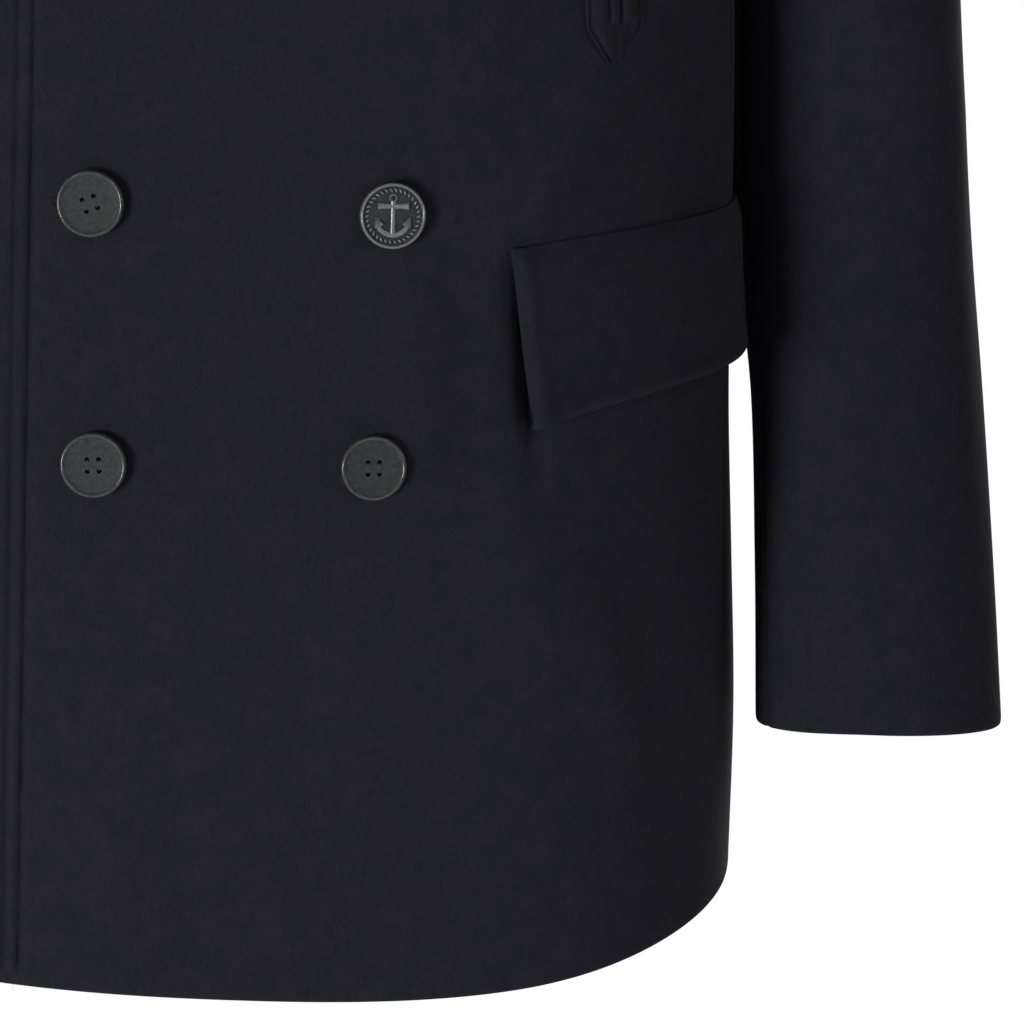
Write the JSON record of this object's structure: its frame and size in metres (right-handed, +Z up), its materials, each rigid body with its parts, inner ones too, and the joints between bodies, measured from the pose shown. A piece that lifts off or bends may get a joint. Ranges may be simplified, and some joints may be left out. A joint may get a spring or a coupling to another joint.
{
  "type": "pea coat",
  "caption": "Short double-breasted coat of heavy napped cloth, filled out as worn: wide lapels, folded collar, slash pockets, hip flaps and large buttons.",
  "frame": {"origin": "between the shoulders, level with the sides of the neck, where a wearer carries the coat", "axes": "+Z up the wearer's spine, the front faces -Y, the wearer's left is +X"},
  "size_m": [0.68, 0.2806, 0.8184],
  "materials": {
    "melton": "matt, densely napped",
    "button_horn": "satin, worn pale at the rims"
  },
  "bodies": {
    "root": {"front_left": "melton", "front_right": "melton", "back_left": "melton", "back_right": "melton", "topsleeve_left": "melton", "topsleeve_right": "melton", "undersleeve_left": "melton", "undersleeve_right": "melton", "collar": "melton", "lapel_left": "melton", "lapel_right": "melton", "flap_left": "melton", "flap_right": "melton", "pocket_welt_left": "melton", "pocket_welt_right": "melton", "button_edge_1": "button_horn", "button_side_1": "button_horn", "button_edge_2": "button_horn", "button_side_2": "button_horn", "button_edge_3": "button_horn", "button_side_3": "button_horn", "button_edge_4": "button_horn", "button_side_4": "button_horn"}
  },
  "joints": []
}
